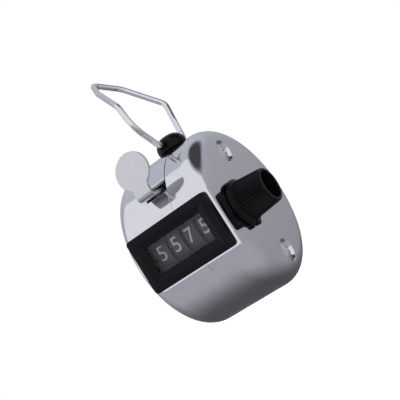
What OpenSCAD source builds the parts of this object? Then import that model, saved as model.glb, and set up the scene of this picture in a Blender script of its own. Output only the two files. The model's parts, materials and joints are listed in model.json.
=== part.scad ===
// Hand tally counter: a chrome drum with a four-digit window, a thumb lever,
// a reset knob and a swinging finger ring.
// The origin is the centre of the drum. X runs along the drum's axis towards
// the reset knob, -Y faces the window and +Z points to the finger ring.

/* [Case] */
// Diameter of the drum
drum_d = 45; // [44:0.5:47]
// Width of the drum, face to face
body_w = 28.8; // [28.4:0.2:29.2]
// Middle of the drum's width along the axis
body_x = 0.6; // [0.5:0.1:0.7]
// Thickness of the drawn shells
wall = 0.8; // [0.6:0.1:0.9]
// Radius of the rounding between the drum and its side faces
edge_r = 5; // [4.5:0.25:5.5]
// Distance of the flat front facet from the drum's axis
facet_y = 21.15; // [21:0.05:21.2]
// Radius of the small rounding at the ends of the front facet
facet_edge_r = 2; // [1.5:0.25:2.5]
// Where the two shells meet along the axis
seam_x = 4.7; // [4.5:0.1:4.9]
// Gap seen at the seam
seam_gap = 0.1; // [0.05:0.05:0.2]

/* [Window] */
// Outer width of the bezel
bezel_w = 25.2; // [24.6:0.2:25.6]
// Outer height of the bezel
bezel_h = 14.6; // [14:0.2:15]
// How far the bezel stands proud of the facet
bezel_t = 2.35; // [2.2:0.05:2.6]
// Middle of the bezel and of the digit wheels along the axis
window_x = 2; // [1.8:0.1:2.2]
// Width of the window opening
window_w = 17.6; // [17:0.2:18]
// Height of the window opening
window_h = 7.3; // [7:0.1:7.6]

/* [Digit wheels] */
// Radius over the numerals
wheel_r = 10.2; // [10:0.05:10.3]
// Distance from one digit wheel to the next
pitch = 4.65; // [4.6:0.05:4.7]
// Height of the wheel axis above the drum's centre
wheel_z = 0.6; // [0.4:0.1:0.8]
// Distance of the wheel axis in front of the drum's centre
wheel_depth = 9; // [8.9:0.05:9.1]
// Radius of the wheel shaft
shaft_r = 1.6; // [1.5:0.05:1.7]

/* [Lever] */
// Width of the lever's stem
stem_w = 4.6; // [4.2:0.1:4.8]
// Radius of the thumb pad
pad_r = 4.9; // [4.6:0.1:5]
// Thickness of the lever's sheet metal
lever_t = 0.9; // [0.8:0.05:1]
// How far the lever turns when it is pressed, in degrees
press_angle = 14; // [12:0.5:14]

/* [Reset knob] */
// Radius of the grip at its base
grip_r = 5.4; // [5.3:0.1:5.6]
// Radius of the grip at its open end
grip_end_r = 4.55; // [4.4:0.05:4.7]
// Where the knob ends along the axis
knob_end_x = 24.4; // [24:0.1:25]

/* [Finger ring] */
// Diameter of the ring's wire
wire_d = 1.56; // [1.4:0.02:1.6]
// Height of the ring's hinge above the drum's centre
hinge_z = 24.5; // [24.4:0.05:24.6]

/* [Hidden] */
$fn = 96;
eps = 0.01;
// Radial play of a pin or a shaft that turns in its hole
play = 0.06;

drum_r = drum_d / 2;
half_w = body_w / 2;
right_x = body_x + half_w;
facet_h = sqrt(drum_r * drum_r - facet_y * facet_y);

// Axes that run along X, as [y, z]
wheel_at = [-wheel_depth, wheel_z];
post_up = [0, 14.5];
post_low = [0, -15.2];
lever_at = [-13.6, 12.4];

// Transfer gears: 20 teeth on a wheel, 8 on a pinion
gear_module = 0.87;
wheel_teeth = 20;
pinion_teeth = 8;
mesh_distance = gear_module * (wheel_teeth + pinion_teeth) / 2;
mesh_angle = -20;
pinion_at = wheel_at + mesh_distance * [cos(mesh_angle), sin(mesh_angle)];

// Wheel stack: each wheel starts at its own x
stack_x = window_x - 2 * pitch;
function wheel_x(k) = stack_x + k * pitch;
rim_wall = 1.3;
rim_start = 0.45;
rim_end = 4.2;
web_t = 0.6;
gear_end = 4.6;
gear_r = 9.4;
gear_root_r = 7.75;
hub_r = 3.2;
ring_start = 0.08;

// Frame plates
plate_t = 0.6;
left_plate_x = -8.2;
right_plate_x = 12.5;
post_r = 1.7;
pin_r = 0.8;

// Lever linkage: the arm's pin turns the pawl carrier about the wheel shaft
link_length = 9.11;
link_angle = -68.7 + press_angle / 2;
link_at = lever_at + link_length * [cos(link_angle), sin(link_angle)];
link_pin_r = 0.55;
arm_x = 11.9;
carrier_x = 11.3;
carrier_t = 0.45;
carrier_angle = 93.3;
pawl_angle = 200;
pawl_pivot_r = 6.6;
pawl_at = wheel_at + pawl_pivot_r * [cos(pawl_angle), sin(pawl_angle)];
ratchet_x = 10.85;
ratchet_t = 0.35;
ratchet_r = 4.4;
nose_at = wheel_at + (ratchet_r + 0.45) * [cos(226), sin(226)];

// Lever outside the case
stem_x = 1.3;
stem_z = 13.55;
bend_y = -23.3;
pad_lean = 12;
pad_rise = 7;
slot_x = -1.9;
slot_low_angle = 34.2;
slot_high_angle = 43.6;

// Ring mount
mount_x = 3;
mount_y = 0;
mount_r = 4.2;
mount_z = 22.6;
mount_h = 3.9;
mount_corner = 3.2;
neck_r = 2;

// Screws
screw_head_r = 2.4;
screw_head_h = 0.75;
screw_r = 0.98;
dimple_r = 3.1;
dimple_d = 0.8;
dimple_floor = 0.7;

// Knob
knob_x = 15.15;
flange_r = 6.2;
flange_end = 16.4;
recess_r = 3.7;
recess_x = 18.4;

// ---- Helpers ----

// Extrudes a [y, z] outline from x0 to x1
module along_x(x0, x1) {
    translate([x0, 0, 0]) rotate([90, 0, 90]) linear_extrude(x1 - x0) children();
}

module disc_x(at, r, x0, x1) {
    along_x(x0, x1) translate(at) circle(r);
}

// Flat strip between two points with round ends
module strip(a, b, half) {
    d = b - a;
    translate(a) rotate(atan2(d[1], d[0])) translate([0, -half]) square([norm(d), 2 * half]);
    translate(a) circle(half);
    translate(b) circle(half);
}

// Gear outline with straight-sided teeth, its first tooth pointing along angle 0
module gear(teeth, root_r, tip_r, root_half, tip_half) {
    circle(root_r);
    for (i = [0:teeth - 1])
        rotate(i * 360 / teeth)
            polygon([[root_r - 0.3, -root_half], [tip_r, -tip_half], [tip_r, tip_half],
                [root_r - 0.3, root_half]]);
}

// ---- Case ----

// Rounded drum with its flat front facet, grown inwards by an inset
module drum(inset) {
    r = drum_r - inset;
    w = half_w - inset;
    e = edge_r - inset;
    difference() {
        translate([body_x, 0, 0]) rotate([0, 90, 0]) rotate_extrude() {
            translate([0, -w]) square([r - e, 2 * w]);
            translate([0, e - w]) square([r, 2 * (w - e)]);
            translate([r - e, e - w]) intersection() {
                circle(e);
                translate([0, -e]) square(e);
            }
            translate([r - e, w - e]) intersection() {
                circle(e);
                square(e);
            }
        }
        translate([-drum_d, -drum_d - facet_y + inset, -drum_d]) cube([2 * drum_d, drum_d, 2 * drum_d]);
    }
    facet_block(inset);
}

// Squarer end that carries the facet out to the right-hand side face
module facet_block(inset) {
    w = half_w - inset;
    e = facet_edge_r - inset / 2;
    h = facet_h - inset;
    front = -facet_y + inset;
    depth = 6;
    translate([body_x, 0, -h]) linear_extrude(2 * h) {
        translate([0, front + e]) square([w, depth - e]);
        translate([0, front]) square([w - e, depth]);
        translate([w - e, front + e]) circle(e);
    }
}

module shell() {
    difference() {
        drum(0);
        drum(wall);
        window_cut();
        ring_neck_cut();
    }
}

// Shell with its screw dimples pressed in and drilled
module dimpled_shell() {
    floor_x = half_w - wall - dimple_floor;
    difference() {
        union() {
            shell();
            for (at = [post_up, post_low], side = [-1, 1])
                translate([body_x + side * floor_x, at[0], at[1]]) rotate([0, side * 90, 0])
                    cylinder(r = dimple_r + 0.5, h = dimple_floor + 0.1);
        }
        for (at = [post_up, post_low]) {
            disc_x(at, screw_r + 0.05, -drum_d, drum_d);
            for (side = [-1, 1])
                translate([body_x + side * (half_w - dimple_d), at[0], at[1]]) rotate([0, side * 90, 0])
                    cylinder(r1 = screw_head_r + 0.2, r2 = dimple_r, h = dimple_d + eps);
        }
    }
}

module window_cut() {
    translate([window_x - bezel_w / 2 + 2, -drum_r, -bezel_h / 2 + 2])
        cube([bezel_w - 4, 6, bezel_h - 4]);
}

module ring_neck_cut() {
    translate([mount_x, mount_y, drum_r - 3]) cylinder(r = neck_r + 0.05, h = 6);
}

// Notch for the lever, open at the seam
module slot_cut() {
    far = drum_r + 2;
    along_x(slot_x, seam_x + 1)
        polygon([[0, 0], far * [-cos(slot_low_angle), sin(slot_low_angle)],
            far * [-cos(slot_high_angle), sin(slot_high_angle)]]);
}

module half_space(x0, x1) {
    translate([x0, -drum_d, -drum_d]) cube([x1 - x0, 2 * drum_d, 2 * drum_d]);
}

module case_left() {
    color("silver") difference() {
        intersection() {
            dimpled_shell();
            half_space(-drum_d, seam_x - seam_gap / 2);
        }
        slot_cut();
    }
}

// Ring inside the seam that the left shell slides over
module seam_lip() {
    difference() {
        union() {
            intersection() {
                drum(wall - 0.1);
                half_space(seam_x + seam_gap / 2, seam_x + 1.5);
            }
            intersection() {
                drum(wall + 0.1);
                half_space(seam_x - 1.2, seam_x + 1);
            }
        }
        drum(wall + 0.5);
        window_cut();
        slot_cut();
        translate([mount_x, mount_y, drum_r - 3]) cylinder(r = 4, h = 6);
    }
}

module case_right() {
    color("silver") {
        difference() {
            intersection() {
                dimpled_shell();
                half_space(seam_x + seam_gap / 2, drum_d);
            }
            disc_x(wheel_at, 2.65, 0, drum_d);
        }
        seam_lip();
    }
}

// ---- Window ----

// Block standing on the [x, z] plane, centred on the window, from y0 to y1
module window_block(w, h, y0, y1, r = 0) {
    translate([window_x, y1, 0]) rotate([90, 0, 0]) linear_extrude(y1 - y0) {
        square([w - 2 * r, h], center = true);
        square([w, h - 2 * r], center = true);
        if (r > 0)
            for (sx = [-1, 1], sz = [-1, 1])
                translate([sx * (w / 2 - r), sz * (h / 2 - r)]) circle(r);
    }
}

bezel_front = -facet_y - bezel_t;
slope_w = 1.9;
slope_d = 0.9;
lens_t = 0.9;
lens_margin = 0.4;

module window_bezel() {
    color("#18181b") difference() {
        union() {
            window_block(bezel_w, bezel_h, bezel_front, -facet_y, 1);
            window_block(bezel_w - 4.2, bezel_h - 4.2, -facet_y - eps, -facet_y + 1.1);
        }
        hull() {
            window_block(window_w, window_h, bezel_front + slope_d, bezel_front + slope_d + eps);
            window_block(window_w + 2 * slope_w, window_h + 2 * slope_w, bezel_front - eps, bezel_front);
        }
        window_block(window_w, window_h, bezel_front, -facet_y);
        window_block(window_w + 2 * lens_margin, window_h + 2 * lens_margin,
            bezel_front + slope_d + 0.2, -facet_y + 2);
    }
}

module window_lens() {
    lens_y = bezel_front + slope_d + 0.2;
    color("white", 0.35)
        window_block(window_w + 2 * lens_margin, window_h + 2 * lens_margin, lens_y, lens_y + lens_t);
}

// ---- Frame ----

module plate_outline() {
    intersection() {
        union() {
            strip(lever_at, post_up, 2.2);
            strip(lever_at, wheel_at, 2.2);
            strip(wheel_at, post_low, 2.6);
            strip(wheel_at, pinion_at, 2.2);
            strip(post_up, pinion_at, 2.2);
            strip(pinion_at, post_low, 2.2);
            translate(wheel_at) circle(4.2);
            translate(post_up) circle(3);
            translate(post_low) circle(3);
        }
        circle(19.9);
    }
}

module frame_plate(x, wheel_hole_r) {
    color("lightsteelblue") difference() {
        along_x(x, x + plate_t) plate_outline();
        disc_x(wheel_at, wheel_hole_r, x - 1, x + 2);
        disc_x(pinion_at, pin_r, x - 1, x + 2);
        disc_x(lever_at, pin_r, x - 1, x + 2);
        disc_x(post_up, post_r, x - 1, x + 2);
        disc_x(post_low, post_r, x - 1, x + 2);
    }
}

module frame_plate_left() {
    frame_plate(left_plate_x, shaft_r + play);
}

module frame_plate_right() {
    frame_plate(right_plate_x, 2.6);
}

// Two tie posts, tapped at both ends for the case screws
module frame_posts() {
    end = half_w - wall - dimple_floor;
    color("#b5a642")
        for (at = [post_up, post_low])
            difference() {
                disc_x(at, post_r, body_x - end, body_x + end);
                disc_x(at, 1, body_x - end - 1, body_x - end + 4);
                disc_x(at, 1, body_x + end - 4, body_x + end + 1);
            }
}

// Four pan-head screws with a crossed recess
module case_screws() {
    seat = half_w - dimple_d;
    color("gainsboro")
        for (at = [post_up, post_low], side = [-1, 1])
            translate([body_x + side * seat, at[0], at[1]]) rotate([0, side * 90, 0]) difference() {
                union() {
                    translate([0, 0, -3.7]) cylinder(r = screw_r, h = 3.8);
                    intersection() {
                        cylinder(r = screw_head_r, h = screw_head_h);
                        translate([0, 0, screw_head_h - 4.6]) sphere(r = 4.6);
                    }
                }
                for (turn = [0, 90])
                    rotate(turn) translate([-1.4, -0.25, 0.3]) cube([2.8, 0.5, 2]);
            }
}

// ---- Digit wheels ----

module digit_wheel(k, colour = "#3c3c42") {
    x = wheel_x(k);
    color(colour) difference() {
        union() {
            difference() {
                disc_x(wheel_at, wheel_r, x + rim_start, x + rim_end);
                disc_x(wheel_at, wheel_r - rim_wall, x, x + rim_end - web_t);
            }
            difference() {
                disc_x(wheel_at, gear_r, x + ring_start, x + rim_start + 0.2);
                disc_x(wheel_at, gear_root_r, x, x + rim_start + 1);
                transfer_gaps(x);
            }
            disc_x(wheel_at, hub_r, x + ring_start, x + rim_end);
            if (k < 3)
                along_x(x + rim_end - 0.1, x + gear_end) translate(wheel_at) rotate(mesh_angle)
                    gear(wheel_teeth, gear_root_r, gear_r, 0.75, 0.32);
            else
                along_x(x + rim_end - 0.1, x + gear_end - 0.05) translate(wheel_at) ratchet();
        }
        disc_x(wheel_at, shaft_r + play, x - 1, x + 6);
        // Pocket in the hub for the reset spring
        along_x(x - 1, x + 2.6) translate(wheel_at) translate([1, -0.6]) square([4, 1.2]);
    }
}

// Gaps either side of the two transfer teeth on the lock ring
module transfer_gaps(x) {
    along_x(x - 1, x + 2) translate(wheel_at)
        for (turn = [162, 180, 198])
            rotate(turn + mesh_angle) translate([gear_root_r + 0.4, -0.7]) square([2, 1.4]);
}

// Ten saw teeth, one for each digit
module ratchet() {
    root = ratchet_r - 0.9;
    polygon([for (i = [0:9], tip = [0, 1])
        (tip == 1 ? ratchet_r : root) * [cos(36 * i + 3 * tip), sin(36 * i + 3 * tip)]]);
}

module wheel_thousands() {
    digit_wheel(0);
}

module wheel_hundreds() {
    digit_wheel(1);
}

module wheel_tens() {
    digit_wheel(2);
}

module wheel_units() {
    digit_wheel(3);
}

// Leaf spring in a wheel that the shaft's keyway picks up when the knob resets
module reset_spring(k) {
    x = wheel_x(k);
    color("#d8c890") along_x(x + 1, x + 2.4) translate(wheel_at) {
        translate([shaft_r + 0.2, -0.2]) square([5.4, 0.4]);
        translate([hub_r + 3, -1.6]) square([0.4, 3.2]);
    }
}

module reset_spring_thousands() {
    reset_spring(0);
}

module reset_spring_hundreds() {
    reset_spring(1);
}

module reset_spring_tens() {
    reset_spring(2);
}

module reset_spring_units() {
    reset_spring(3);
}

// ---- Transfer pinions ----

// Pinion in mesh with wheel k, on its right-hand side
module pinion(k) {
    x = wheel_x(k);
    color("#c9a227") difference() {
        union() {
            disc_x(pinion_at, 1.7, x + 2.2, x + 2.2 + pitch - 0.1);
            along_x(x + rim_end + 0.08, x + gear_end) translate(pinion_at)
                rotate(mesh_angle + 180 + 180 / pinion_teeth)
                    gear(pinion_teeth, 2.45, 4.1, 0.6, 0.32);
        }
        disc_x(pinion_at, pin_r + play, x, x + 8);
    }
}

module pinion_thousands() {
    pinion(0);
}

module pinion_hundreds() {
    pinion(1);
}

module pinion_tens() {
    pinion(2);
}

module pinion_shaft() {
    color("silver") disc_x(pinion_at, pin_r, left_plate_x, right_plate_x + plate_t);
}

// ---- Wheel shaft and reset knob ----

module wheel_shaft() {
    start = left_plate_x - 1.1;
    color("silver") difference() {
        disc_x(wheel_at, shaft_r, start, recess_x);
        along_x(stack_x, stack_x + 4 * pitch - 0.5) translate(wheel_at)
            translate([shaft_r - 0.35, -0.35]) square([1, 0.7]);
        disc_x(wheel_at, 0.75, recess_x - 4, recess_x + 1);
        difference() {
            disc_x(wheel_at, shaft_r + 1, left_plate_x - 0.7, left_plate_x - 0.3);
            disc_x(wheel_at, 1.2, left_plate_x - 1, left_plate_x);
        }
    }
}

module shaft_clip() {
    color("#4a4a50") difference() {
        disc_x(wheel_at, 2.9, left_plate_x - 0.65, left_plate_x - 0.35);
        disc_x(wheel_at, 1.2, left_plate_x - 1, left_plate_x);
        along_x(left_plate_x - 1, left_plate_x) translate(wheel_at) translate([0, -0.9]) square([4, 1.8]);
    }
}

module shaft_bush() {
    color("#c9a227") difference() {
        union() {
            disc_x(wheel_at, 2.6, right_plate_x, right_x);
            disc_x(wheel_at, 3.4, right_plate_x + plate_t, right_x - wall);
        }
        disc_x(wheel_at, shaft_r + play, right_plate_x - 1, right_x + 1);
    }
}

module reset_knob() {
    color("#141416") difference() {
        translate([0, wheel_at[0], wheel_at[1]]) rotate([0, 90, 0]) {
            translate([0, 0, knob_x]) cylinder(r = flange_r, h = flange_end - knob_x);
            translate([0, 0, flange_end - eps]) cylinder(r1 = flange_r, r2 = grip_r, h = 0.4);
            translate([0, 0, flange_end])
                cylinder(r1 = grip_r, r2 = grip_end_r, h = knob_end_x - flange_end);
            translate([flange_r - 0.5, 0, knob_x + 0.15]) cylinder(r = 1.1, h = 1.5);
        }
        disc_x(wheel_at, recess_r, recess_x, knob_end_x + 1);
        disc_x(wheel_at, shaft_r, knob_x - 1, recess_x + 1);
    }
}

module knob_screw() {
    color("gainsboro") difference() {
        union() {
            disc_x(wheel_at, 2.2, recess_x, recess_x + 0.9);
            disc_x(wheel_at, 0.73, recess_x - 3.5, recess_x + 0.1);
        }
        along_x(recess_x + 0.45, recess_x + 2) translate(wheel_at)
            for (turn = [0, 90])
                rotate(turn) square([2.6, 0.5], center = true);
    }
}

// ---- Lever and its linkage ----

module thumb_lever() {
    color("#c4c4c6") difference() {
        union() {
            disc_x(lever_at, 1.5, stem_x - stem_w / 2 + 0.02, arm_x + 0.48);
            lever_sheet();
            along_x(arm_x, arm_x + 0.5) strip(lever_at, link_at, 1.2);
        }
        disc_x(lever_at, pin_r + play, -drum_d, drum_d);
        disc_x(link_at, link_pin_r, arm_x - 1, arm_x + 1);
    }
}

// Bent sheet: a stem that turns up into a neck and a round pad
module lever_sheet() {
    intersection() {
        along_x(stem_x - pad_r - 1, stem_x + pad_r + 1) lever_profile();
        translate([stem_x, bend_y, stem_z]) rotate([90 - pad_lean, 0, 0])
            linear_extrude(2 * drum_d, center = true) lever_outline();
    }
}

// Side view of the sheet, as [y, z], with a mitred corner at the bend
module lever_profile() {
    half = lever_t / 2;
    bend = [bend_y, stem_z];
    corner = half * [tan(45 + pad_lean / 2), 1];
    top = bend + (pad_rise + pad_r + 1) * [sin(pad_lean), cos(pad_lean)];
    back = half * [cos(pad_lean), -sin(pad_lean)];
    stem_end = [lever_at[0] - 0.1, stem_z];
    polygon([stem_end + [0, half], bend + corner, top + back, top - back, bend - corner,
        stem_end - [0, half]]);
}

// Outline of the lever seen square to its pad
module lever_outline() {
    translate([-stem_w / 2, -drum_r]) square([stem_w, drum_r + pad_rise]);
    translate([0, pad_rise]) circle(pad_r);
}

module lever_pin() {
    color("silver") disc_x(lever_at, pin_r, left_plate_x, right_plate_x + plate_t);
}

module lever_link_pin() {
    color("silver") disc_x(link_at, link_pin_r, carrier_x, arm_x + 0.5);
}

// Torsion spring around the lever's pin
module lever_spring() {
    color("#9a9aa0") {
        difference() {
            disc_x(lever_at, 1.7, -6.4, -1.3);
            disc_x(lever_at, 1.1, -7, 0);
        }
    }
}

module pawl_carrier() {
    color("#b9bcc2") difference() {
        along_x(carrier_x, carrier_x + carrier_t) difference() {
            union() {
                translate(wheel_at) {
                    circle(2.7);
                    rotate(carrier_angle) translate([0, -1.6]) square([4.9, 3.2]);
                }
                strip(wheel_at, pawl_at, 1.3);
            }
            translate(wheel_at) {
                circle(shaft_r + play);
                rotate(carrier_angle) translate([2.85, -link_pin_r - 0.15])
                    square([3, 2 * link_pin_r + 0.3]);
            }
        }
        disc_x(pawl_at, 0.5, carrier_x - 1, carrier_x + 1);
    }
}

module pawl_pin() {
    color("silver") disc_x(pawl_at, 0.5, ratchet_x + 0.03, carrier_x + carrier_t);
}

module drive_pawl() {
    color("#8f949c") difference() {
        along_x(ratchet_x, ratchet_x + ratchet_t) {
            translate(pawl_at) circle(1.1);
            strip(pawl_at, nose_at, 0.35);
        }
        disc_x(pawl_at, 0.5 + 0.04, ratchet_x - 1, ratchet_x + 1);
    }
}

// Leaf spring on the lower post that keeps the units wheel from running back
module detent_spring() {
    tip = wheel_at + (ratchet_r + 0.4) * [cos(-68), sin(-68)];
    color("#d8c890") difference() {
        along_x(ratchet_x, ratchet_x + ratchet_t) {
            translate(post_low) circle(2.3);
            strip(post_low + [-1.9, 0.8], tip, 0.2);
        }
        disc_x(post_low, post_r, ratchet_x - 1, ratchet_x + 1);
    }
}

// ---- Finger ring ----

module ring_mount() {
    color("#1a1a1c") difference() {
        translate([mount_x, mount_y, 0]) {
            translate([0, 0, mount_z]) rotate_extrude() {
                square([mount_r, mount_h - mount_corner]);
                square([mount_r - mount_corner, mount_h]);
                translate([mount_r - mount_corner, mount_h - mount_corner]) intersection() {
                    circle(mount_corner);
                    square(mount_corner);
                }
            }
            translate([0, 0, mount_z - 2]) cylinder(r = neck_r, h = 2.1);
            translate([0, 0, mount_z - 2.6]) cylinder(r = 3.4, h = 0.9);
        }
        translate([mount_x, mount_y - 10, hinge_z]) rotate([-90, 0, 0])
            cylinder(r = wire_d / 2 + play, h = 20);
    }
}

// Corners of the bent wire with the radius of each bend
ring_path = [
    [mount_x, -2, hinge_z, 0],
    [mount_x, -5.9, hinge_z, 3.5],
    [2.9, -12.6, 31.4, 7],
    [1.7, -11.2, 37.8, 3],
    [-5.2, -3.8, 45.7, 6],
    [-8, 1.2, 49.8, 2],
    [-4.8, 8, 45.9, 5],
    [2, 12.8, 36, 2.6],
    [3.6, 8, 28, 9],
    [mount_x, 8.5, hinge_z, 2],
    [mount_x, 3, hinge_z, 0]
];
// Roughly square to the ring, so that no stretch of wire runs along it
ring_normal = [cos(20), 0, sin(20)];
wire_sides = 16;
bend_steps = 6;

function unit(v) = v / norm(v);
function xyz(p) = [p[0], p[1], p[2]];
function arrive(i) = unit(xyz(ring_path[i]) - xyz(ring_path[i - 1]));
function turn_at(i) = acos(arrive(i) * arrive(i + 1));
// Length that the bend at corner i takes from each straight
function tangent(i) = ring_path[i][3] * tan(turn_at(i) / 2);
function bend_axis(i) = unit(cross(arrive(i), arrive(i + 1)));
function bend_out(i) = unit(cross(arrive(i), bend_axis(i)));
function bend_centre(i) = xyz(ring_path[i]) - arrive(i) * tangent(i) - bend_out(i) * ring_path[i][3];
// Place and direction of the wire part of the way round the bend at corner i
function bend_station(i, angle) = [
    bend_centre(i) + ring_path[i][3] * (bend_out(i) * cos(angle) + arrive(i) * sin(angle)),
    arrive(i) * cos(angle) - bend_out(i) * sin(angle)
];

last_corner = len(ring_path) - 1;
wire_stations = concat(
    [[xyz(ring_path[0]), arrive(1)]],
    [for (i = [1:last_corner - 1], step = [0:bend_steps]) bend_station(i, turn_at(i) * step / bend_steps)],
    [[xyz(ring_path[last_corner]), arrive(last_corner)]]
);

function wire_circle(station, r) =
    let (side = unit(cross(station[1], ring_normal)), up = cross(side, station[1]))
    [for (k = [0:wire_sides - 1])
        station[0] + r * (side * cos(360 * k / wire_sides) + up * sin(360 * k / wire_sides))];

// Bent wire swept along its stations
module bent_wire(r) {
    n = len(wire_stations);
    points = [for (station = wire_stations) each wire_circle(station, r)];
    walls = [for (j = [0:n - 2], k = [0:wire_sides - 1])
        let (next = (k + 1) % wire_sides)
        [j * wire_sides + next, (j + 1) * wire_sides + next, (j + 1) * wire_sides + k, j * wire_sides + k]];
    start_cap = [for (k = [wire_sides - 1:-1:0]) k];
    end_cap = [for (k = [0:wire_sides - 1]) (n - 1) * wire_sides + k];
    polyhedron(points = points, faces = concat([start_cap], walls, [end_cap]));
}

// Round end of the wire, which turns in the mount
module hinge_pin(y0, y1) {
    translate([mount_x, y0, hinge_z]) rotate([-90, 0, 0]) cylinder(d = wire_d, h = y1 - y0);
}

module finger_ring() {
    color("silver") {
        bent_wire(wire_d / 2 - 0.005);
        hinge_pin(-4.1, -0.6);
        hinge_pin(1.8, 6.4);
    }
}

case_left();
case_right();
window_bezel();
window_lens();
frame_plate_left();
frame_plate_right();
frame_posts();
case_screws();
wheel_thousands();
wheel_hundreds();
wheel_tens();
wheel_units();
reset_spring_thousands();
reset_spring_hundreds();
reset_spring_tens();
reset_spring_units();
pinion_thousands();
pinion_hundreds();
pinion_tens();
pinion_shaft();
wheel_shaft();
shaft_bush();
shaft_clip();
reset_knob();
knob_screw();
thumb_lever();
lever_pin();
lever_link_pin();
lever_spring();
pawl_carrier();
pawl_pin();
drive_pawl();
detent_spring();
ring_mount();
finger_ring();
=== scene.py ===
"""Looks of a hand tally counter: a chrome drum with a four-digit window, a thumb lever, a reset knob
and a swinging finger ring. Shapes are made in millimetres and scaled to metres when they become pieces."""

import json
import math

import bmesh
import bpy
from mathutils import Matrix, Vector


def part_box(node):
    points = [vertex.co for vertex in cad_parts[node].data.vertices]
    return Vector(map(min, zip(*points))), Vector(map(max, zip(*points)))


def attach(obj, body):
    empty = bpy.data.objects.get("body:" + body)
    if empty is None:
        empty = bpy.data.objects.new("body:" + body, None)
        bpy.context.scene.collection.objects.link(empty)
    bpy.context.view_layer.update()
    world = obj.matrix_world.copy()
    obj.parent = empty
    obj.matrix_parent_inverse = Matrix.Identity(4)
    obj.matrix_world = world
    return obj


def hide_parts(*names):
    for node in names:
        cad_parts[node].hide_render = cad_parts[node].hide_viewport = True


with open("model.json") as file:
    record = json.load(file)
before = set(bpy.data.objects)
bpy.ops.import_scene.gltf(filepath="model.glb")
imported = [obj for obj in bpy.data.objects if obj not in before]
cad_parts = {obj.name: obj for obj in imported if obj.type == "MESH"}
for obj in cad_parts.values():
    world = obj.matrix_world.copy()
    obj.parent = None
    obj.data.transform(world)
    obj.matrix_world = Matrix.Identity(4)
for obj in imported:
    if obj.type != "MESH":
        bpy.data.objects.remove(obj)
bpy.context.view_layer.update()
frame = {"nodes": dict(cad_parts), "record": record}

MM = 0.001

# Millimetres past every part of the counter, for tools that cut right through
BEYOND = 60
scene = bpy.context.scene


def cad_box(node):
    """Lowest and highest corner of a CAD node in millimetres."""
    low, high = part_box(node)
    return low / MM, high / MM


# ---- Sizes in millimetres ----

case_low, case_high = cad_box("case_left")
drum_r = case_high.z
left_x = case_low.x
right_x = cad_box("shaft_bush")[1].x
body_x = (left_x + right_x) / 2
half_w = (right_x - left_x) / 2
facet_y = case_low.y
edge_r = 5.0
facet_edge_r = 2.0
wall = 0.8
seam_x = case_high.x + 0.05
seam_gap = 0.02
groove_half_w = 0.16
groove_depth = 0.12
groove_end_y = 4
facet_h = math.sqrt(drum_r**2 - facet_y**2)
groove_end_z = -9.2
slot_x = -1.9
slot_angles = (34.2, 43.6)

bezel_low, bezel_high = cad_box("window_bezel")
window_x = (bezel_low.x + bezel_high.x) / 2
bezel_w = bezel_high.x - bezel_low.x
bezel_h = bezel_high.z - bezel_low.z
window_w = 17.6
window_h = 7.3

wheel_low, wheel_high = cad_box("wheel_units")
wheel_at = Vector((0, (wheel_low.y + wheel_high.y) / 2, (wheel_low.z + wheel_high.z) / 2))
wheel_r = (wheel_high.z - wheel_low.z) / 2
wheel_names = ("thousands", "hundreds", "tens", "units")
shown_digits = (5, 5, 7, 5)
rim_start = 0.37
rim_end = 4.12
numeral_h = 3.8
numeral_w = 2.1
numeral_shift = -0.35

lever_at = Vector((0, -13.6, 12.4))
stem_x = 1.3
stem_w = 4.6
stem_z = 13.55
lever_t = 0.9
bend_y = -23.3
bend_r = 1.0
pad_lean = math.radians(12)
pad_rise = 7.0
pad_r = 4.9

knob_low, knob_high = cad_box("reset_knob")
mount_low, mount_high = cad_box("ring_mount")
mount_x = (mount_low.x + mount_high.x) / 2
mount_y = (mount_low.y + mount_high.y) / 2
mount_r = (mount_high.y - mount_low.y) / 2
mount_z = 22.6
hinge_z = 24.5
wire_r = 0.775

pivot_hole_r = 0.86
shaft_hole_r = 1.62

screw_places = [(0.0, 14.5), (0.0, -15.2)]
dimple_rim_r = 3.3
dimple_depth = 0.8


# ---- Mesh helpers ----


def new_object(name, points, faces):
    """Object in millimetres, not yet a piece."""
    mesh = bpy.data.meshes.new(name)
    mesh.from_pydata([tuple(p) for p in points], [], faces)
    mesh.update()
    obj = bpy.data.objects.new(name, mesh)
    scene.collection.objects.link(obj)
    return obj


def apply_modifiers(obj):
    depsgraph = bpy.context.evaluated_depsgraph_get()
    mesh = bpy.data.meshes.new_from_object(obj.evaluated_get(depsgraph))
    obj.modifiers.clear()
    obj.data = mesh


def duplicate(obj):
    twin = obj.copy()
    twin.data = obj.data.copy()
    scene.collection.objects.link(twin)
    return twin


def combine(target, tool, operation):
    """Boolean of two closed solids. The tool is used up."""
    change = target.modifiers.new(operation, "BOOLEAN")
    change.object = tool
    change.operation = operation
    change.solver = "EXACT"
    apply_modifiers(target)
    bpy.data.objects.remove(tool)
    return target


def bevel(obj, width, segments=3, angle=40):
    change = obj.modifiers.new("bevel", "BEVEL")
    change.width = width
    change.segments = segments
    change.limit_method = "ANGLE"
    change.angle_limit = math.radians(angle)
    change.use_clamp_overlap = True
    apply_modifiers(obj)
    return obj


def fix_normals(obj):
    shape = bmesh.new()
    shape.from_mesh(obj.data)
    bmesh.ops.remove_doubles(shape, verts=shape.verts, dist=1e-5)
    bmesh.ops.recalc_face_normals(shape, faces=shape.faces)
    shape.to_mesh(obj.data)
    shape.free()


def join(objects, name):
    """One object from several solids, side by side in one mesh."""
    shape = bmesh.new()
    for obj in objects:
        shape.from_mesh(obj.data)
        bpy.data.objects.remove(obj)
    mesh = bpy.data.meshes.new(name)
    shape.to_mesh(mesh)
    shape.free()
    joined = bpy.data.objects.new(name, mesh)
    scene.collection.objects.link(joined)
    return joined


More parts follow.
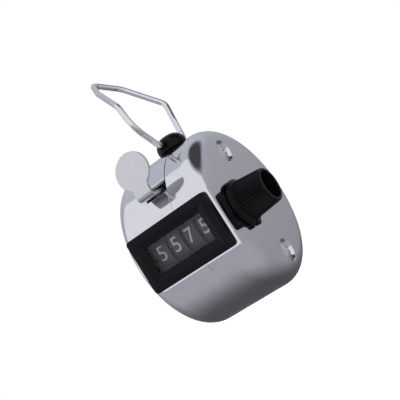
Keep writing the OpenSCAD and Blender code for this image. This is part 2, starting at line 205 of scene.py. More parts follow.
def box_solid(low, high):
    corners = [(x, y, z) for x in (low[0], high[0]) for y in (low[1], high[1]) for z in (low[2], high[2])]
    faces = [(0, 1, 3, 2), (4, 6, 7, 5), (0, 4, 5, 1), (2, 3, 7, 6), (0, 2, 6, 4), (1, 5, 7, 3)]
    return new_object("box", corners, faces)


def prism(outline, x0, x1):
    """Solid from x0 to x1 with an outline of (y, z) points."""
    n = len(outline)
    points = [(x, y, z) for x in (x0, x1) for y, z in outline]
    faces = [(i, (i + 1) % n, n + (i + 1) % n, n + i) for i in range(n)]
    faces += [tuple(reversed(range(n))), tuple(range(n, 2 * n))]
    solid = new_object("prism", points, faces)
    fix_normals(solid)
    return solid


def lathe(profile, centre, axis, steps=96, radius_at=None):
    """Closed solid turned about an axis. The profile is (along, radius) points, on the axis at both ends or
    closed on itself. radius_at may change a radius by its turn."""
    side = Vector((0, 1, 0)) if axis == "X" else Vector((1, 0, 0))
    along = Vector((1, 0, 0)) if axis == "X" else Vector((0, 0, 1))
    up = along.cross(side)
    points = []
    for t, r in profile:
        for k in range(steps):
            turn = 2 * math.pi * k / steps
            radius = radius_at(t, r, turn) if radius_at else r
            points.append(centre + along * t + radius * (side * math.cos(turn) + up * math.sin(turn)))
    rings = len(profile)
    closed = profile[0][1] > 1e-6
    faces = []
    for j in range(rings if closed else rings - 1):
        a, b = j * steps, (j + 1) % rings * steps
        faces += [(a + k, a + (k + 1) % steps, b + (k + 1) % steps, b + k) for k in range(steps)]
    solid = new_object("lathe", points, faces)
    fix_normals(solid)
    return solid


def drill(radius, start, end, centre, axis, steps=96):
    """Cylinder along an axis, to cut a round hole with."""
    return lathe([(start, 0), (start, radius), (end, radius), (end, 0)], centre, axis, steps)


def arc(centre, radius, start, end, steps):
    """Points of an arc in a plane, its angles in degrees."""
    turns = [math.radians(start + (end - start) * i / steps) for i in range(steps + 1)]
    return [(centre[0] + radius * math.cos(a), centre[1] + radius * math.sin(a)) for a in turns]


def sweep(path, radius, sides=20):
    """Round wire along points, with flat ends."""
    n = len(path)
    tangents = [(path[min(i + 1, n - 1)] - path[max(i - 1, 0)]).normalized() for i in range(n)]
    side = tangents[0].orthogonal().normalized()
    points = []
    for i in range(n):
        side = (side - side.dot(tangents[i]) * tangents[i]).normalized()
        up = tangents[i].cross(side)
        for k in range(sides):
            turn = 2 * math.pi * k / sides
            points.append(path[i] + radius * (side * math.cos(turn) + up * math.sin(turn)))
    faces = []
    for j in range(n - 1):
        a, b = j * sides, (j + 1) * sides
        faces += [(a + k, a + (k + 1) % sides, b + (k + 1) % sides, b + k) for k in range(sides)]
    faces += [tuple(reversed(range(sides))), tuple(range((n - 1) * sides, n * sides))]
    solid = new_object("wire", points, faces)
    fix_normals(solid)
    return solid


def bent_path(corners, steps=12):
    """Points along straights and round bends. A corner is (x, y, z, bend radius)."""
    places = [Vector(c[:3]) for c in corners]
    path = [places[0]]
    for i in range(1, len(places) - 1):
        arrive = (places[i] - places[i - 1]).normalized()
        leave = (places[i + 1] - places[i]).normalized()
        turn = arrive.angle(leave)
        radius = corners[i][3]
        start = places[i] - arrive * radius * math.tan(turn / 2)
        axis = arrive.cross(leave).normalized()
        inward = axis.cross(arrive)
        centre = start + inward * radius
        for s in range(steps + 1):
            spin = Matrix.Rotation(turn * s / steps, 3, axis)
            path.append(centre - spin @ inward * radius)
    path.append(places[-1])
    return path


def piece(obj, name, body, material, nodes=(), sharp=35):
    """Turns an object in millimetres into a piece in metres that rides on a body."""
    obj.name = name
    obj.data.name = name
    has_normals = obj.data.has_custom_normals
    obj.data.transform(Matrix.Scale(MM, 4))
    if not has_normals:
        obj.data.shade_smooth()
        obj.data.set_sharp_from_angle(angle=math.radians(sharp))
    obj.data.materials.clear()
    obj.data.materials.append(material)
    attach(obj, body)
    if nodes:
        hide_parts(*nodes)
    return obj


# ---- Materials ----


def node_material(name):
    material = bpy.data.materials.new(name)
    material.use_nodes = True
    tree = material.node_tree
    return material, tree, tree.nodes["Principled BSDF"]


def grain(tree, scale, detail=4.0, stretch=(1, 1, 1)):
    """Fine noise in the piece's own coordinates, with an optional stretch."""
    place = tree.nodes.new("ShaderNodeTexCoord")
    mapping = tree.nodes.new("ShaderNodeMapping")
    mapping.inputs["Scale"].default_value = stretch
    noise = tree.nodes.new("ShaderNodeTexNoise")
    noise.inputs["Scale"].default_value = scale
    noise.inputs["Detail"].default_value = detail
    tree.links.new(place.outputs["Object"], mapping.inputs["Vector"])
    tree.links.new(mapping.outputs["Vector"], noise.inputs["Vector"])
    return noise.outputs["Fac"]


def spread(tree, source, low, high, socket):
    """Feeds a socket with noise between two values."""
    ramp = tree.nodes.new("ShaderNodeMapRange")
    ramp.inputs["From Min"].default_value = 0.3
    ramp.inputs["From Max"].default_value = 0.7
    ramp.inputs["To Min"].default_value = low
    ramp.inputs["To Max"].default_value = high
    tree.links.new(source, ramp.inputs["Value"])
    tree.links.new(ramp.outputs["Result"], socket)


def tint(tree, source, dark, light, socket):
    """Feeds a colour socket with noise between two colours."""
    ramp = tree.nodes.new("ShaderNodeValToRGB")
    ramp.color_ramp.elements[0].position = 0.3
    ramp.color_ramp.elements[0].color = (*dark, 1)
    ramp.color_ramp.elements[1].position = 0.7
    ramp.color_ramp.elements[1].color = (*light, 1)
    tree.links.new(source, ramp.inputs["Fac"])
    tree.links.new(ramp.outputs["Color"], socket)


def roughen(tree, shader, source, strength, distance):
    bump = tree.nodes.new("ShaderNodeBump")
    bump.inputs["Strength"].default_value = strength
    bump.inputs["Distance"].default_value = distance
    tree.links.new(source, bump.inputs["Height"])
    tree.links.new(bump.outputs["Normal"], shader.inputs["Normal"])


def metal(name, colour, rough, stretch=(1, 1, 1), scale=900, strength=0.03):
    material, tree, shader = node_material(name)
    shader.inputs["Metallic"].default_value = 1.0
    noise = grain(tree, scale, stretch=stretch)
    tint(tree, noise, [0.95 * c for c in colour], colour, shader.inputs["Base Color"])
    spread(tree, noise, rough[0], rough[1], shader.inputs["Roughness"])
    roughen(tree, shader, noise, strength, 0.00002)
    return material


def plastic(name, colour, rough, scale=1500, strength=0.08, shine=0.3):
    material, tree, shader = node_material(name)
    noise = grain(tree, scale, detail=6.0)
    tint(tree, noise, [0.85 * c for c in colour], colour, shader.inputs["Base Color"])
    spread(tree, noise, rough[0], rough[1], shader.inputs["Roughness"])
    shader.inputs["Specular IOR Level"].default_value = shine
    roughen(tree, shader, noise, strength, 0.00003)
    return material


def clear_plastic(name):
    material, tree, shader = node_material(name)
    shader.inputs["Base Color"].default_value = (0.98, 0.98, 1.0, 1)
    shader.inputs["Transmission Weight"].default_value = 1.0
    shader.inputs["IOR"].default_value = 1.3
    spread(tree, grain(tree, 300), 0.0, 0.02, shader.inputs["Roughness"])
    return material


CHROME = metal("chrome", (0.68, 0.68, 0.71), (0.03, 0.06), scale=400, strength=0.004)
WIRE = metal("chrome_wire", (0.70, 0.70, 0.73), (0.03, 0.06), scale=700, strength=0.01)
BLACK = plastic("black_plastic", (0.005, 0.005, 0.006), (0.28, 0.36), shine=0.08)
GLOSS_BLACK = plastic("gloss_black_plastic", (0.003, 0.003, 0.004), (0.2, 0.28), shine=0.12)
LENS = clear_plastic("clear_lens")
SATIN = metal("satin_steel", (0.60, 0.60, 0.62), (0.30, 0.38), stretch=(1, 12, 1), scale=800, strength=0.05)
SCREW = metal("screw_steel", (0.75, 0.75, 0.76), (0.12, 0.2), scale=1200, strength=0.03)
WHEEL = plastic("wheel_plastic", (0.042, 0.042, 0.052), (0.42, 0.5))
NUMERAL = plastic("numeral_paint", (0.45, 0.45, 0.50), (0.5, 0.6), strength=0.03)
PINION = plastic("pinion_plastic", (0.55, 0.36, 0.10), (0.4, 0.5))
ZINC = metal("zinc_steel", (0.55, 0.58, 0.64), (0.3, 0.4), scale=500, strength=0.05)
BRASS = metal("brass", (0.72, 0.52, 0.22), (0.2, 0.3))
SPRING = metal("spring_steel", (0.58, 0.56, 0.50), (0.2, 0.3))
SLOT_MATERIALS = {
    "chrome_case": CHROME,
    "chrome_wire": WIRE,
    "black_plastic": BLACK,
    "clear_lens": LENS,
    "satin_steel": SATIN,
    "screw_steel": SCREW,
    "wheel_plastic": WHEEL,
    "pinion_plastic": PINION,
    "zinc_steel": ZINC,
    "brass": BRASS,
    "spring_steel": SPRING,
}


def paint_cad_nodes():
    """Every CAD node takes the material of its own slot."""
    for part in frame["record"]["subparts"]:
        mesh = frame["nodes"][part["node"]].data
        mesh.materials.clear()
        mesh.materials.append(SLOT_MATERIALS[part["material_slot"]])


# ---- Case ----


def drum_solid(inset):
    """Rounded drum with a flat front facet, grown inwards by an inset."""
    r = drum_r - inset
    w = half_w - inset
    e = edge_r - inset
    profile = [(-w, 0), (-w, r - e)]
    profile += arc((-w + e, r - e), e, 180, 90, 16)[1:]
    profile += arc((w - e, r - e), e, 90, 0, 16)
    profile += [(w, 0)]
    drum = lathe(profile, Vector((body_x, 0, 0)), "X", steps=240)
    front = facet_y + inset
    combine(drum, box_solid((-BEYOND, -BEYOND, -BEYOND), (BEYOND, front, BEYOND)), "DIFFERENCE")
    combine(drum, facet_block(inset), "UNION")
    return drum


def facet_block(inset):
    """Squarer end that carries the facet out to the right-hand side face."""
    w = right_x - inset
    e = facet_edge_r - inset / 2
    h = facet_h - inset
    front = facet_y + inset
    back = front + 6
    outline = arc((w - e, front + e), e, 270, 360, 16)
    outline += [(w, back), (body_x, back), (body_x, front)]
    n = len(outline)
    points = [(x, y, z) for z in (-h, h) for x, y in outline]
    faces = [(i, (i + 1) % n, n + (i + 1) % n, n + i) for i in range(n)]
    faces += [tuple(reversed(range(n))), tuple(range(n, 2 * n))]
    block = new_object("block", points, faces)
    fix_normals(block)
    return block


def outer_normals(p):
    """Exact normals of the case's outer surfaces that a point lies on."""
    tol = 0.004
    found = []
    rho = math.hypot(p.y, p.z)
    off = abs(p.x - body_x)
    sign = 1 if p.x > body_x else -1
    flat = half_w - edge_r
    if abs(rho - drum_r) < tol and off < flat + tol:
        found.append(Vector((0, p.y, p.z)) / rho)
    across = Vector((off - flat, rho - drum_r + edge_r))
    if across.x > -tol and across.y > -tol and abs(across.length - edge_r) < tol and rho > 0:
        found.append(Vector((sign * across.x, p.y / rho * across.y, p.z / rho * across.y)) / edge_r)
    if abs(p.y - facet_y) < tol:
        found.append(Vector((0, -1, 0)))
    if abs(off - half_w) < tol:
        found.append(Vector((sign, 0, 0)))
    corner = Vector((p.x - right_x + facet_edge_r, facet_y + facet_edge_r - p.y))
    if corner.x > -tol and corner.y > -tol and abs(corner.length - facet_edge_r) < tol:
        found.append(Vector((corner.x, -corner.y, 0)) / facet_edge_r)
    return found


def shade_case(obj):
    """Sets exact normals on the outside, so that the chrome mirrors without facets."""
    mesh = obj.data
    mesh.shade_smooth()
    sliver_area = 0.01
    normals = [Vector((0, 0, 1))] * len(mesh.loops)
    known = {}
    for polygon in mesh.polygons:
        for loop in polygon.loop_indices:
            index = mesh.loops[loop].vertex_index
            if index not in known:
                known[index] = outer_normals(mesh.vertices[index].co)
            best = max(known[index], key=polygon.normal.dot, default=polygon.normal)
            exact = polygon.area < sliver_area or best.dot(polygon.normal) > 0.9
            normals[loop] = best.copy() if exact else polygon.normal.copy()
    mesh.normals_split_custom_set(normals)


def dimple_places():
    return [(side, y, z) for side in (-1, 1) for y, z in screw_places]


def case_shell(outer, inner, seam_cut, x0, x1):
    """One of the two shells: the drum's wall between x0 and x1 with its openings."""
    lap = 2
    neck_hole_r = 2.1
    shell = duplicate(outer)
    combine(shell, duplicate(inner), "DIFFERENCE")
    combine(shell, duplicate(seam_cut), "DIFFERENCE")
    combine(shell, box_solid((x0, -BEYOND, -BEYOND), (x1, BEYOND, BEYOND)), "INTERSECT")
    low = (window_x - bezel_w / 2 + lap, -drum_r - 2, -bezel_h / 2 + lap)
    high = (window_x + bezel_w / 2 - lap, facet_y + 5, bezel_h / 2 - lap)
    combine(shell, box_solid(low, high), "DIFFERENCE")
    neck = drill(neck_hole_r, drum_r - 3, drum_r + 3, Vector((mount_x, mount_y, 0)), "Z")
    combine(shell, neck, "DIFFERENCE")
    for side, y, z in dimple_places():
        if x0 < body_x + side * half_w < x1:
            place = Vector((body_x + side * half_w, y, z))
            combine(shell, drill(dimple_rim_r, -2, 2, place, "X"), "DIFFERENCE")
    return shell


def make_case():
    outer = drum_solid(0)
    inner = drum_solid(wall)
    groove = box_solid((seam_x - groove_half_w, -BEYOND, -BEYOND), (seam_x + groove_half_w, BEYOND, BEYOND))
    below_window = box_solid((-BEYOND, -BEYOND, -BEYOND), (BEYOND, groove_end_y, groove_end_z))
    combine(groove, below_window, "DIFFERENCE")
    combine(groove, drum_solid(groove_depth), "DIFFERENCE")
    left = case_shell(outer, inner, groove, -BEYOND, seam_x - seam_gap / 2)
    reach = 26
    turns = [math.radians(a) for a in slot_angles]
    wedge = [(0, 0)] + [(-reach * math.cos(turn), reach * math.sin(turn)) for turn in turns]
    combine(left, prism(wedge, slot_x, seam_x + 1), "DIFFERENCE")
    right = case_shell(outer, inner, groove, seam_x + seam_gap / 2, BEYOND)
    bush_hole_r = 2.65
    bush_at = wheel_at + Vector((right_x, 0, 0))
    combine(right, drill(bush_hole_r, -2, 2, bush_at, "X"), "DIFFERENCE")
    for spare in (outer, inner, groove):
        bpy.data.objects.remove(spare)
    for shell in (left, right):
        shade_case(shell)
    piece(left, "shell_left", "case", CHROME, ["case_left"])
    piece(right, "shell_right", "case", CHROME, ["case_right"])
    make_seam_lip()
    for index, place in enumerate(dimple_places()):
        make_dimple(index, *place)


def make_seam_lip():
    """Ring inside the seam that the left shell slides over, cut away at the lever, window and mount."""
    play = 0.02
    lip_half_w = 1.2
    lip_t = 0.5
    lip_r = drum_r - wall - play
    start = seam_x - lip_half_w
    end = seam_x + lip_half_w
    profile = [(start, lip_r), (end, lip_r), (end, lip_r - lip_t), (start, lip_r - lip_t)]
    lip = lathe(profile, Vector(), "X", steps=180)
    cutaways = [
        ((-BEYOND, -BEYOND, -BEYOND), (BEYOND, facet_y + wall + play, BEYOND)),
        ((0, -BEYOND, 2), (BEYOND, -5, 17)),
        ((0, -BEYOND, -facet_h), (BEYOND, -5, 3)),
        ((0, -5, 18), (BEYOND, 6, 30)),
    ]
    for low, high in cutaways:
        combine(lip, box_solid(low, high), "DIFFERENCE")
    piece(lip, "seam_lip", "case", CHROME)


def make_dimple(index, side, y, z):
    """Pressed dish that a screw sits in, with a soft rolled rim."""
    roll = 0.45
    floor_r = 2.55
    hole_r = 1.05
    back = -dimple_depth - 0.5
    profile = [(0, dimple_rim_r)] + arc((-roll, dimple_rim_r), roll, 0, -60, 6)[1:]
    profile += [(-dimple_depth + 0.1, floor_r + 0.1), (-dimple_depth, floor_r), (-dimple_depth, hole_r)]
    profile += [(back, hole_r), (back, dimple_rim_r), (-0.3, dimple_rim_r)]
    turned = [(side * t, r) for t, r in profile]
    dish = lathe(turned, Vector((body_x + side * half_w, y, z)), "X")
    name = "dimple_" + ("left" if side < 0 else "right") + ("_upper" if z > 0 else "_lower")
    piece(dish, name, "case", CHROME, sharp=45)


# ---- Window ----


def rounded_ring(w, h, r, y, steps=6):
    """Loop of a rectangle with round corners, in a plane of constant y."""
    loop = []
    corners = [(1, 1, 0), (-1, 1, 90), (-1, -1, 180), (1, -1, 270)]
    for sx, sz, start in corners:
        centre = (window_x + sx * (w / 2 - r), sz * (h / 2 - r))
        loop += [Vector((x, y, z)) for x, z in arc(centre, r, start, start + 90, steps)]
    return loop


def loft(rings):
    """Solid ring from loops of the same length, the last joined to the first."""
    n = len(rings[0])
    points = [p for ring in rings for p in ring]
    faces = []
    for j in range(len(rings)):
        a, b = j * n, (j + 1) % len(rings) * n
        faces += [(a + k, a + (k + 1) % n, b + (k + 1) % n, b + k) for k in range(n)]
    solid = new_object("loft", points, faces)
    fix_normals(solid)
    return solid


def make_bezel():
    """Picture frame with slopes down to the window, a pocket for the lens and a tail inside the case."""
    front = bezel_low.y
    corner_r = 1.0
    soft = 0.22
    slope = 1.9
    sharp_r = 0.02
    crest = 0.06
    pocket = 0.8
    slope_end = front + 0.9
    pocket_y = front + 1.1
    tail_y = facet_y + 1.1
    tail_w = bezel_w - 4.2
    tail_h = bezel_h - 4.2
    land_w = window_w + 2 * slope
    land_h = window_h + 2 * slope
    rings = [rounded_ring(bezel_w, bezel_h, corner_r, facet_y)]
    for x, y in arc((-soft, soft), soft, 0, -90, 4):
        rings.append(rounded_ring(bezel_w + 2 * x, bezel_h + 2 * x, corner_r + x, front + soft + y))
    rings.append(rounded_ring(land_w + 2 * crest, land_h + 2 * crest, sharp_r + crest, front))
    rings.append(rounded_ring(land_w - crest, land_h - crest, sharp_r, front + crest))
    rings.append(rounded_ring(window_w, window_h, sharp_r, slope_end))
    rings.append(rounded_ring(window_w, window_h, sharp_r, pocket_y))
    rings.append(rounded_ring(window_w + pocket, window_h + pocket, sharp_r, pocket_y))
    rings.append(rounded_ring(window_w + pocket, window_h + pocket, sharp_r, tail_y))
    rings.append(rounded_ring(tail_w, tail_h, 0.3, tail_y))
    rings.append(rounded_ring(tail_w, tail_h, 0.3, facet_y))
    piece(loft(rings), "bezel", "case", BLACK, ["window_bezel"], sharp=30)


# ---- Numerals ----


def numeral(digit):
    """Flat solid of one digit, centred, at the size of the numerals."""
    curve = bpy.data.curves.new("numeral", "FONT")
    curve.body = str(digit)
    curve.extrude = 0.01
    curve.resolution_u = 8
    text = bpy.data.objects.new("numeral", curve)
    scene.collection.objects.link(text)
    depsgraph = bpy.context.evaluated_depsgraph_get()
    mesh = bpy.data.meshes.new_from_object(text.evaluated_get(depsgraph))
    bpy.data.objects.remove(text)
    low = Vector([min(v.co[i] for v in mesh.vertices) for i in range(3)])
    high = Vector([max(v.co[i] for v in mesh.vertices) for i in range(3)])
    narrow = 0.6
    width = numeral_w * (narrow if digit == 1 else 1)
    for v in mesh.vertices:
        share = [(v.co[i] - low[i]) / (high[i] - low[i]) - 0.5 for i in range(3)]
        v.co = (share[0] * width, share[1] * numeral_h, share[2])
    shape = bmesh.new()
    shape.from_mesh(mesh)
    cuts = 10
    for i in range(1, cuts):
        level = (i / cuts - 0.5) * numeral_h
        geometry = shape.verts[:] + shape.edges[:] + shape.faces[:]
        bmesh.ops.bisect_plane(shape, geom=geometry, plane_co=(0, level, 0), plane_no=(0, 1, 0))
    shape.to_mesh(mesh)
    shape.free()
    return mesh


def make_numerals():
    """Ten digits round each wheel. A wheel counts up as its front moves down."""
    sheets = [numeral(digit) for digit in range(10)]
    thick = 0.05
    lift = 0.005
    for name, shown in zip(wheel_names, shown_digits):
        low, _ = cad_box("wheel_" + name)
        middle = low.x + (rim_start + rim_end) / 2 + numeral_shift
        shape = bmesh.new()
        for digit in range(10):
            shift = math.radians(360 / 10 * ((digit - shown) % 10))
            start = len(shape.verts)
            shape.from_mesh(sheets[digit])
            shape.verts.ensure_lookup_table()
            for v in shape.verts[start:]:
                turn = shift + v.co.y / wheel_r
                r = wheel_r + lift + thick * v.co.z
                x = middle + v.co.x
                v.co = (x, wheel_at.y - r * math.cos(turn), wheel_at.z + r * math.sin(turn))
        mesh = bpy.data.meshes.new("numerals")
        shape.to_mesh(mesh)
        shape.free()
        ring = bpy.data.objects.new("numerals", mesh)
        scene.collection.objects.link(ring)
        piece(ring, "numerals_" + name, name + "_wheel", NUMERAL)


# ---- Lever ----


def lever_outline():
    """Half of the flat sheet's edge, as (across, along) from the stem's end to the pad's top."""
    half = stem_w / 2
    fillet = 1.1
    centre = (half + fillet, pad_rise - math.sqrt((pad_r + fillet) ** 2 - (half + fillet) ** 2))
    meet = math.degrees(math.atan2(centre[1] - pad_rise, centre[0]))
    edge = arc(centre, fillet, 180, 180 + meet, 8)
    return edge + arc((0, pad_rise), pad_r, meet, 90, 24)


def bend_sheet(along, off):
    """Place in (y, z) of a point along the sheet's middle, which bends up where along is 0."""
    turn_total = math.pi / 2 + pad_lean
    reach = bend_r * math.tan(turn_total / 2)
    length = bend_r * turn_total
    up = Vector((math.sin(pad_lean), math.cos(pad_lean)))
    if along < -length / 2:
        place = Vector((bend_y + reach - (along + length / 2), stem_z))
        normal = Vector((0, -1))
    elif along < length / 2:
        turn = (along + length / 2) / bend_r
        centre = Vector((bend_y + reach, stem_z + bend_r))
        normal = Vector((-math.sin(turn), -math.cos(turn)))
        place = centre + bend_r * normal
    else:
        place = Vector((bend_y, stem_z)) + up * (reach + along - length / 2)
        normal = Vector((-up.y, up.x))
    return place + off * normal


def make_lever():
    """Bent sheet with a round pad, its hinge barrel and the arm that moves the pawl."""
    stem_length = lever_at.y - bend_y
    half = stem_w / 2
    right = [(half, -stem_length)] + lever_outline()
    outline = right + [(-x, v) for x, v in reversed(right[:-1])]
    n = len(outline)
    points = [(x, v, w) for w in (-lever_t / 2, lever_t / 2) for x, v in outline]
    faces = [(i, (i + 1) % n, n + (i + 1) % n, n + i) for i in range(n)]
    faces += [tuple(reversed(range(n))), tuple(range(n, 2 * n))]
    sheet = new_object("sheet", points, faces)
    fix_normals(sheet)
    bevel(sheet, 0.2, segments=4, angle=50)
    shape = bmesh.new()
    shape.from_mesh(sheet.data)
    bend_length = bend_r * (math.pi / 2 + pad_lean)
    cuts = 14
    for i in range(cuts + 1):
        level = (i / cuts - 0.5) * bend_length
        geometry = shape.verts[:] + shape.edges[:] + shape.faces[:]
        bmesh.ops.bisect_plane(shape, geom=geometry, plane_co=(0, level, 0), plane_no=(0, 1, 0))
    for v in shape.verts:
        place = bend_sheet(v.co.y, v.co.z)
        v.co = (stem_x + v.co.x, place.x, place.y)
    shape.to_mesh(sheet.data)
    shape.free()
    arm_end = cad_box("thumb_lever")[1].x
    arm_t = 0.5
    play = 0.02
    chamfer = 0.1
    barrel_x = stem_x - half + play
    barrel_end = arm_end - play
    barrel_r = 1.5
    edge_at = barrel_r - chamfer
    profile = [(barrel_x, pivot_hole_r), (barrel_x, edge_at), (barrel_x + chamfer, barrel_r)]
    profile += [(barrel_end - chamfer, barrel_r), (barrel_end, edge_at), (barrel_end, pivot_hole_r)]
    barrel = lathe(profile, lever_at, "X", steps=48)
    arm = lever_arm(arm_end - arm_t, arm_end)
    lever = join([sheet, barrel, arm], "lever")
    piece(lever, "lever", "lever", SATIN, ["thumb_lever"])


def lever_arm(x0, x1):
    """Flat arm from the barrel down to the link pin."""
    end_r = 1.2
    link_hole_r = 0.56
    pin_low, pin_high = cad_box("lever_link_pin")
    tip = Vector((0, (pin_low.y + pin_high.y) / 2, (pin_low.z + pin_high.z) / 2))
    run = tip - lever_at
    heading = math.degrees(math.atan2(run.z, run.y))
    outline = arc((tip.y, tip.z), end_r, heading - 90, heading + 90, 16)
    outline += arc((lever_at.y, lever_at.z), end_r, heading + 90, heading + 270, 16)
    arm = prism(outline, x0, x1)
    for place, r in ((tip, link_hole_r), (lever_at, pivot_hole_r)):
        centre = Vector((0, place.y, place.z))
        combine(arm, drill(r, x0 - 1, x1 + 1, centre, "X", 32), "DIFFERENCE")
    return bevel(arm, 0.06, segments=2)


def make_lever_spring():
    """Coil of the torsion spring round the lever's pin."""
    low, high = cad_box("lever_spring")
    turns = 7
    coil_r = 1.45
    wire = 0.2
    start_turn = -0.6
    per_turn = 24
    path = []
    for i in range(turns * per_turn + 1):
        turn = 2 * math.pi * i / per_turn + start_turn
        x = low.x + wire + (high.x - low.x - 2 * wire) * i / (turns * per_turn)
        path.append(Vector((x, lever_at.y + coil_r * math.cos(turn), lever_at.z + coil_r * math.sin(turn))))
    spring = sweep(path, wire, sides=12)
    piece(spring, "torsion_spring", "case", SPRING, ["lever_spring"])


# ---- Reset knob ----


def make_knob():
    """Black knob: smooth flange, ribbed grip that narrows outwards, deep hollow at its end."""
    flange_r = 6.2
    flange_end = 16.4
    grip_r = 5.4
    grip_end_r = 4.55
    hollow_r = 3.7
    hollow_x = 18.4
    rib_count = 40
    rib_depth = 0.32
    base = knob_low.x
    tip = knob_high.x
    grip_start = flange_end + 0.5
    grip_stop = tip - 0.55

    def grip_at(x):
        return grip_r + (grip_end_r - grip_r) * (x - flange_end) / (tip - flange_end)

    def ribbed(x, r, turn):
        if r < hollow_r + 0.4 or x < grip_start - 0.01 or x > grip_stop + 0.01:
            return r
        wave = 0.5 - 0.5 * math.cos(rib_count * turn)
        return r - rib_depth * wave**0.6

    profile = [(base, shaft_hole_r), (base, flange_r - 0.15), (base + 0.15, flange_r)]
    profile += [(x, r) for x, r in arc((flange_end - 0.3, flange_r - 0.3), 0.3, 90, 20, 5)]
    profile += [(flange_end + 0.3, grip_at(flange_end) - 0.02)]
    profile += [(x, grip_at(x)) for x in (grip_start - 0.02, grip_start, grip_start + 0.25)]
    profile += [(x, grip_at(x)) for x in (tip - 4, grip_stop - 0.15, grip_stop, grip_stop + 0.12)]
    profile += [(x, r) for x, r in arc((tip - 0.3, grip_end_r - 0.32), 0.3, 80, 0, 6)]
    profile += [(x, r) for x, r in arc((tip - 0.2, hollow_r + 0.2), 0.2, 0, -90, 4)]
    profile += [(hollow_x + 0.3, hollow_r - 0.1), (hollow_x, hollow_r - 0.4), (hollow_x, shaft_hole_r)]
    knob = lathe(profile, Vector((0, wheel_at.y, wheel_at.z)), "X", steps=rib_count * 8, radius_at=ribbed)
    lug_at = Vector((base + 0.15, wheel_at.y, wheel_at.z - flange_r + 0.5))
    lug_profile = [(0, 0), (0, 0.95), (0.15, 1.1), (1.25, 1.1), (1.4, 1.05), (1.5, 0.9), (1.5, 0)]
    lug = lathe(lug_profile, lug_at, "X", 40)
    both = join([knob, lug], "knob")
    piece(both, "knob", "knob", GLOSS_BLACK, ["reset_knob"], sharp=40)


# ---- Ring and its mount ----


def make_mount():
    """Domed black button on a short neck, with a mouth on each side for the wire."""
    top = mount_high.z
    corner = 3.2
    soft = 0.25
    neck_r = 2
    foot_r = 3.4
    foot_z = mount_low.z + 0.9
    profile = [(mount_low.z, 0), (mount_low.z, foot_r), (foot_z, foot_r), (foot_z, neck_r)]
    profile += [(mount_z, neck_r), (mount_z, mount_r - soft)]
    profile += [(z, r) for r, z in arc((mount_r - soft, mount_z + soft), soft, -60, 0, 4)]
    profile += [(z, r) for r, z in arc((mount_r - corner, top - corner), corner, 0, 90, 14)]
    profile += [(top, 0)]
    mount = lathe(profile, Vector((mount_x, mount_y, 0)), "Z", steps=96)
    wire_hole_r = 0.84
    mouth_r = 1.35
    mouth_depth = 0.9
    combine(mount, bore(wire_hole_r, mount_y - 8, mount_y + 8), "DIFFERENCE")
    for side in (-1, 1):
        mouth = bore(mouth_r, mount_y + side * (mount_r - mouth_depth), mount_y + side * (mount_r + 2))
        combine(mount, mouth, "DIFFERENCE")
    piece(mount, "ring_button", "case", GLOSS_BLACK, ["ring_mount"], sharp=40)


def bore(r, y0, y1):
    """Cylinder along Y through the ring's hinge."""
    steps = 40
    points = []
    for y in (y0, y1):
        points += [(x, y, z) for x, z in arc((mount_x, hinge_z), r, 0, 360 - 360 / steps, steps - 1)]
    faces = [(k, (k + 1) % steps, steps + (k + 1) % steps, steps + k) for k in range(steps)]
    faces += [tuple(reversed(range(steps))), tuple(range(steps, 2 * steps))]
    solid = new_object("bore", points, faces)
    fix_normals(solid)
    return solid


# Corners of the finger ring's wire, from one end in the mount to the other: (x, y, z, bend radius)
RING_CORNERS = [
    (mount_x, -0.6, hinge_z, 0),
    (mount_x, -5.9, hinge_z, 3.5),
    (2.9, -12.6, 31.4, 7),
    (1.7, -11.2, 37.8, 3),
    (-5.2, -3.8, 45.7, 6),
    (-8, 1.2, 49.8, 2),
    (-4.8, 8, 45.9, 5),
    (2, 12.8, 36, 2.6),
    (3.6, 8, 28, 9),
    (mount_x, 8.5, hinge_z, 2),
    (mount_x, 1.8, hinge_z, 0),
]


def make_ring():
    ring = sweep(bent_path(RING_CORNERS), wire_r, sides=24)
    piece(ring, "finger_wire", "ring", WIRE, ["finger_ring"], sharp=50)


# ---- Camera, light and surroundings ----


def make_camera():
    """Camera at the photograph's angle, turned about its own axis as the counter lies in the frame."""
    azimuth = math.radians(27.05)
    elevation = math.radians(-2.08)
    roll = math.radians(32.46)
    distance = 227.92
    place = distance * Vector((
        math.sin(azimuth) * math.cos(elevation),
        -math.cos(azimuth) * math.cos(elevation),
        math.sin(elevation),
    ))
    aim = Vector((1.3, 0.4, 7.7))
    forward = (aim - place).normalized()
    level = forward.cross(Vector((0, 0, 1))).normalized()
    upright = level.cross(forward)
    right = math.cos(roll) * level - math.sin(roll) * upright
    up = math.sin(roll) * level + math.cos(roll) * upright
    data = bpy.data.cameras.new("camera")
    data.sensor_width = 36
    data.lens = 78.56
    data.clip_start = 0.005
    data.clip_end = 20
    camera = bpy.data.objects.new("camera", data)
    scene.collection.objects.link(camera)
    turn = Matrix((right, up, -forward)).transposed()
    camera.matrix_world = Matrix.Translation(place * MM) @ turn.to_4x4()
    scene.camera = camera


def make_floor():
    level = -90.0
    size = 3000
    points = [(sx * size, sy * size, level) for sx, sy in ((-1, -1), (1, -1), (1, 1), (-1, 1))]
    floor = new_object("floor", points, [(0, 1, 2, 3)])
    floor.data.transform(Matrix.Scale(MM, 4))
    material, tree, shader = node_material("floor")
    shader.inputs["Base Color"].default_value = (0.9, 0.9, 0.9, 1)
    shader.inputs["Roughness"].default_value = 0.9
    shader.inputs["Emission Color"].default_value = (1, 1, 1, 1)
    shader.inputs["Emission Strength"].default_value = 0.6
    floor.data.materials.append(material)
    floor.visible_glossy = False


def make_light(name, place, size, power):
    data = bpy.data.lights.new(name, "AREA")
    data.size = size
    data.energy = power
    light = bpy.data.objects.new(name, data)
    scene.collection.objects.link(light)
    light.visible_glossy = False
    direction = -Vector(place)
    light.matrix_world = Matrix.Translation(place) @ direction.to_track_quat("-Z", "Y").to_matrix().to_4x4()


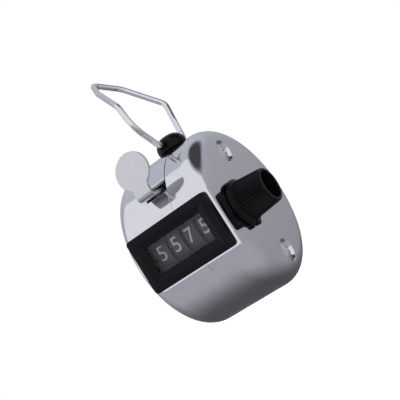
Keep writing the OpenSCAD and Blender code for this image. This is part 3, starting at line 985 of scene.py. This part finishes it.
def towards(tree, direction):
    """How far the world's direction leans towards another, as a cosine."""
    place = tree.nodes.new("ShaderNodeTexCoord")
    lean = tree.nodes.new("ShaderNodeVectorMath")
    lean.operation = "DOT_PRODUCT"
    lean.inputs[1].default_value = Vector(direction).normalized()
    tree.links.new(place.outputs["Generated"], lean.inputs[0])
    return lean.outputs["Value"]


def between(tree, value, low, high):
    """0 below low, 1 above high, smooth between them."""
    step = tree.nodes.new("ShaderNodeMapRange")
    step.interpolation_type = "SMOOTHSTEP"
    step.inputs["From Min"].default_value = low
    step.inputs["From Max"].default_value = high
    tree.links.new(value, step.inputs["Value"])
    return step.outputs["Result"]


def product(tree, a, b):
    times = tree.nodes.new("ShaderNodeMath")
    times.operation = "MULTIPLY"
    tree.links.new(a, times.inputs[0])
    tree.links.new(b, times.inputs[1])
    return times.outputs["Value"]


def overlay(tree, below, share, colour):
    """Lays a colour over what is below it, by a share from 0 to 1."""
    mix = tree.nodes.new("ShaderNodeMix")
    mix.data_type = "RGBA"
    tree.links.new(share, mix.inputs["Factor"])
    tree.links.new(below, mix.inputs["A"])
    mix.inputs["B"].default_value = (*colour, 1)
    return mix.outputs["Result"]


def make_studio_walls():
    """White wall in front, grey all round and dark below, which the chrome mirrors. The camera sees white."""
    world = bpy.data.worlds.new("studio")
    world.use_nodes = True
    tree = world.node_tree
    base = tree.nodes.new("ShaderNodeRGB")
    base.outputs["Color"].default_value = (0.47, 0.48, 0.52, 1)
    above = between(tree, towards(tree, (0, 0, 1)), 0.3, 0.8)
    shade = overlay(tree, base.outputs["Color"], above, (0.60, 0.64, 0.71))
    low_back = between(tree, towards(tree, (-0.2, 0.66, -0.70)), 0.35, 0.98)
    shade = overlay(tree, shade, low_back, (0.10, 0.095, 0.10))
    front = between(tree, towards(tree, (0, -1, 0)), -0.12, -0.08)
    high = between(tree, towards(tree, (0, 0, 1)), -0.32, -0.12)
    shade = overlay(tree, shade, product(tree, front, high), (0.97, 0.98, 1.02))
    upper_right = between(tree, towards(tree, (0.45, 0.34, 0.80)), 0.87, 0.96)
    shade = overlay(tree, shade, upper_right, (0.07, 0.07, 0.075))
    rays = tree.nodes.new("ShaderNodeLightPath")
    shade = overlay(tree, shade, rays.outputs["Is Camera Ray"], (1, 1, 1))
    tree.links.new(shade, tree.nodes["Background"].inputs["Color"])
    scene.world = world


def make_surroundings():
    scene.view_settings.view_transform = "Standard"
    make_studio_walls()
    make_floor()
    make_light("key", (-0.35, -0.45, 0.55), 0.4, 0.5)
    make_light("top", (0.1, 0.1, 0.7), 0.5, 0.3)


paint_cad_nodes()
make_case()
make_bezel()
make_numerals()
make_lever()
make_lever_spring()
make_knob()
make_mount()
make_ring()
make_camera()
make_surroundings()
